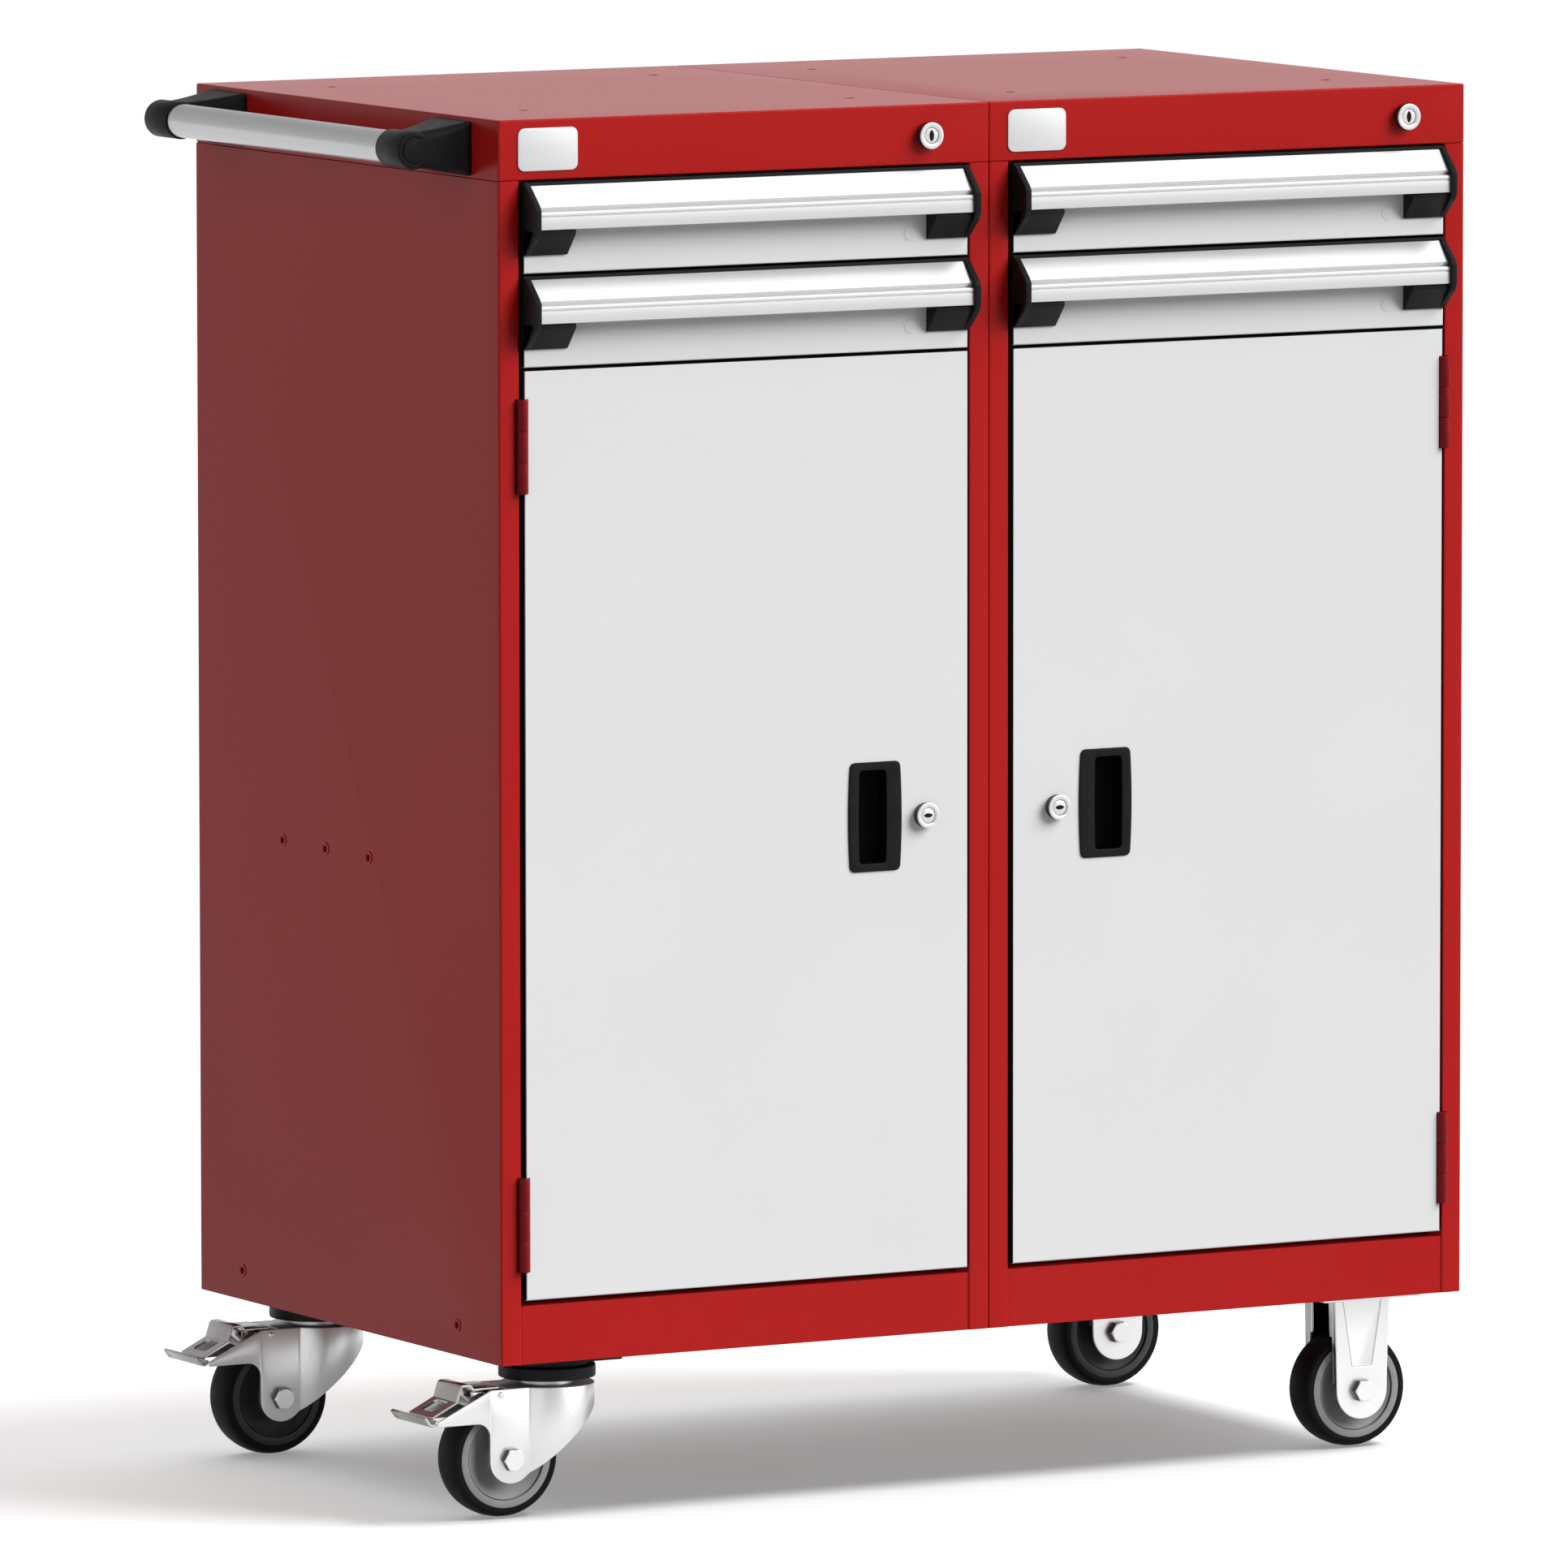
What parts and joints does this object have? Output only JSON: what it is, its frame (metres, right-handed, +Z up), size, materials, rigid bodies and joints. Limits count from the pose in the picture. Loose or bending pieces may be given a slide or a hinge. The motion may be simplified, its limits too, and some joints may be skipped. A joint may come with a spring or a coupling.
{
  "type": "mobile drawer cabinet",
  "caption": "Double-width sheet-steel tool cabinet on casters, with shallow drawers over lockable doors, a side push handle, swivel and rigid wheels and foot brakes.",
  "frame": {"origin": "on the floor, under the middle of the whole cabinet's box", "axes": "+X to the right along the front, away from the push handle; +Y from the drawer fronts to the back; +Z up"},
  "size_m": [0.9799, 0.558, 1.1494],
  "materials": {
    "red_paint": "gloss powder coat",
    "grey_paint": "light grey powder coat",
    "brushed_aluminium": "satin anodised",
    "black_plastic": "fine moulded grain",
    "zinc_steel": "bright zinc plate",
    "chrome_plate": "polished chrome",
    "black_rubber": "matt rubber tread on a grey core"
  },
  "bodies": {
    "cabinet": {"left_outer_side": "red_paint", "left_inner_side": "red_paint", "right_inner_side": "red_paint", "right_outer_side": "red_paint", "left_base_pan": "red_paint", "right_base_pan": "red_paint", "back_panels": "red_paint", "left_top_cap": "red_paint", "right_top_cap": "red_paint", "divider_shelves": "grey_paint", "storage_shelves": "grey_paint", "slotted_uprights": "zinc_steel", "cabinet_runners": "zinc_steel", "badge_plates": "brushed_aluminium", "rivet_nuts": "zinc_steel", "push_handle_tube": "brushed_aluminium", "handle_brackets": "black_plastic", "hex_bolts": "zinc_steel", "swivel_caster_plates": "zinc_steel", "caster_covers": "black_plastic", "fixed_caster_forks": "zinc_steel", "hinge_frame_halves": "red_paint", "cap_lock_barrels": "chrome_plate"},
    "left_lower_drawer": {"left_lower_drawer_body": "grey_paint", "left_lower_drawer_pull": "brushed_aluminium", "left_lower_drawer_pull_ends": "black_plastic"},
    "left_lower_drawer_carriages": {"left_lower_drawer_carriages": "zinc_steel"},
    "left_upper_drawer": {"left_upper_drawer_body": "grey_paint", "left_upper_drawer_pull": "brushed_aluminium", "left_upper_drawer_pull_ends": "black_plastic"},
    "left_upper_drawer_carriages": {"left_upper_drawer_carriages": "zinc_steel"},
    "left_door": {"left_door": "grey_paint", "left_door_pull": "black_plastic", "left_door_lock_barrel": "chrome_plate"},
    "left_door_lock": {"left_door_lock_plug": "chrome_plate"},
    "left_cap_lock": {"left_cap_lock_plug": "chrome_plate"},
    "left_lock_bar": {"left_lock_bar": "zinc_steel"},
    "right_lower_drawer": {"right_lower_drawer_body": "grey_paint", "right_lower_drawer_pull": "brushed_aluminium", "right_lower_drawer_pull_ends": "black_plastic"},
    "right_lower_drawer_carriages": {"right_lower_drawer_carriages": "zinc_steel"},
    "right_upper_drawer": {"right_upper_drawer_body": "grey_paint", "right_upper_drawer_pull": "brushed_aluminium", "right_upper_drawer_pull_ends": "black_plastic"},
    "right_upper_drawer_carriages": {"right_upper_drawer_carriages": "zinc_steel"},
    "right_door": {"right_door": "grey_paint", "right_door_pull": "black_plastic", "right_door_lock_barrel": "chrome_plate"},
    "right_door_lock": {"right_door_lock_plug": "chrome_plate"},
    "right_cap_lock": {"right_cap_lock_plug": "chrome_plate"},
    "right_lock_bar": {"right_lock_bar": "zinc_steel"},
    "front_swivel": {"front_swivel_fork": "zinc_steel"},
    "front_brake": {"front_brake_pedal": "chrome_plate"},
    "front_left_wheel": {"front_left_wheel": "black_rubber"},
    "front_right_wheel": {"front_right_wheel": "black_rubber"},
    "rear_swivel": {"rear_swivel_fork": "zinc_steel"},
    "rear_brake": {"rear_brake_pedal": "chrome_plate"},
    "rear_left_wheel": {"rear_left_wheel": "black_rubber"},
    "rear_right_wheel": {"rear_right_wheel": "black_rubber"}
  },
  "joints": [
    {"name": "left_lower_drawer_slide", "type": "slide", "parent": "cabinet", "child": "left_lower_drawer", "axis": [0, -1, 0], "range_m": [0, 0.42]},
    {"name": "left_lower_drawer_carriage_slide", "type": "slide", "parent": "cabinet", "child": "left_lower_drawer_carriages", "axis": [0, -1, 0], "range_m": [0, 0.21]},
    {"name": "left_upper_drawer_slide", "type": "slide", "parent": "cabinet", "child": "left_upper_drawer", "axis": [0, -1, 0], "range_m": [0, 0.42]},
    {"name": "left_upper_drawer_carriage_slide", "type": "slide", "parent": "cabinet", "child": "left_upper_drawer_carriages", "axis": [0, -1, 0], "range_m": [0, 0.21]},
    {"name": "left_door_hinge", "type": "hinge", "parent": "cabinet", "child": "left_door", "pos_m": [-0.4044, -0.25695, 0.5662], "axis": [0, 0, -1], "range_deg": [0, 170]},
    {"name": "left_door_lock_turn", "type": "hinge", "parent": "left_door", "child": "left_door_lock", "pos_m": [-0.02975, -0.25695, 0.5644], "axis": [0, -1, 0], "range_deg": [0, 90]},
    {"name": "left_cap_lock_turn", "type": "hinge", "parent": "cabinet", "child": "left_cap_lock", "pos_m": [-0.02545, -0.25445, 1.124], "axis": [0, 1, 0], "range_deg": [0, 90]},
    {"name": "left_lock_bar_drop", "type": "slide", "parent": "cabinet", "child": "left_lock_bar", "axis": [0, 0, -1], "range_m": [0, 0.01202]},
    {"name": "right_lower_drawer_slide", "type": "slide", "parent": "cabinet", "child": "right_lower_drawer", "axis": [0, -1, 0], "range_m": [0, 0.42]},
    {"name": "right_lower_drawer_carriage_slide", "type": "slide", "parent": "cabinet", "child": "right_lower_drawer_carriages", "axis": [0, -1, 0], "range_m": [0, 0.21]},
    {"name": "right_upper_drawer_slide", "type": "slide", "parent": "cabinet", "child": "right_upper_drawer", "axis": [0, -1, 0], "range_m": [0, 0.42]},
    {"name": "right_upper_drawer_carriage_slide", "type": "slide", "parent": "cabinet", "child": "right_upper_drawer_carriages", "axis": [0, -1, 0], "range_m": [0, 0.21]},
    {"name": "right_door_hinge", "type": "hinge", "parent": "cabinet", "child": "right_door", "pos_m": [0.4699, -0.25695, 0.5662], "axis": [0, 0, 1], "range_deg": [0, 170]},
    {"name": "right_door_lock_turn", "type": "hinge", "parent": "right_door", "child": "right_door_lock", "pos_m": [0.09525, -0.25695, 0.5644], "axis": [0, 1, 0], "range_deg": [0, 90]},
    {"name": "right_cap_lock_turn", "type": "hinge", "parent": "cabinet", "child": "right_cap_lock", "pos_m": [0.43175, -0.25445, 1.124], "axis": [0, 1, 0], "range_deg": [0, 90]},
    {"name": "right_lock_bar_drop", "type": "slide", "parent": "cabinet", "child": "right_lock_bar", "axis": [0, 0, -1], "range_m": [0, 0.01202]},
    {"name": "front_swivel_turn", "type": "hinge", "parent": "cabinet", "child": "front_swivel", "pos_m": [-0.34825, -0.19095, 0.1085], "axis": [0, 0, 1], "continuous": true},
    {"name": "front_brake_press", "type": "hinge", "parent": "front_swivel", "child": "front_brake", "pos_m": [-0.40475, -0.19095, 0.104], "axis": [0, -1, 0], "range_deg": [0, 5]},
    {"name": "front_left_wheel_spin", "type": "hinge", "parent": "front_swivel", "child": "front_left_wheel", "pos_m": [-0.39475, -0.19095, 0.05], "axis": [0, 1, 0], "continuous": true},
    {"name": "front_right_wheel_spin", "type": "hinge", "parent": "cabinet", "child": "front_right_wheel", "pos_m": [0.41675, -0.19095, 0.05], "axis": [0, 1, 0], "continuous": true},
    {"name": "rear_swivel_turn", "type": "hinge", "parent": "cabinet", "child": "rear_swivel", "pos_m": [-0.34825, 0.21545, 0.1085], "axis": [0, 0, 1], "continuous": true},
    {"name": "rear_brake_press", "type": "hinge", "parent": "rear_swivel", "child": "rear_brake", "pos_m": [-0.40475, 0.21545, 0.104], "axis": [0, -1, 0], "range_deg": [0, 5]},
    {"name": "rear_left_wheel_spin", "type": "hinge", "parent": "rear_swivel", "child": "rear_left_wheel", "pos_m": [-0.39475, 0.21545, 0.05], "axis": [0, 1, 0], "continuous": true},
    {"name": "rear_right_wheel_spin", "type": "hinge", "parent": "cabinet", "child": "rear_right_wheel", "pos_m": [0.41675, 0.21545, 0.05], "axis": [0, 1, 0], "continuous": true}
  ],
  "couplings": [
    {"joint": "left_lower_drawer_carriage_slide", "follows": "left_lower_drawer_slide", "ratio": 0.5},
    {"joint": "left_upper_drawer_carriage_slide", "follows": "left_upper_drawer_slide", "ratio": 0.5},
    {"joint": "left_cap_lock_turn", "follows": "left_lock_bar_drop", "rad_per_m": 130.67},
    {"joint": "right_lower_drawer_carriage_slide", "follows": "right_lower_drawer_slide", "ratio": 0.5},
    {"joint": "right_upper_drawer_carriage_slide", "follows": "right_upper_drawer_slide", "ratio": 0.5},
    {"joint": "right_cap_lock_turn", "follows": "right_lock_bar_drop", "rad_per_m": 130.67}
  ]
}
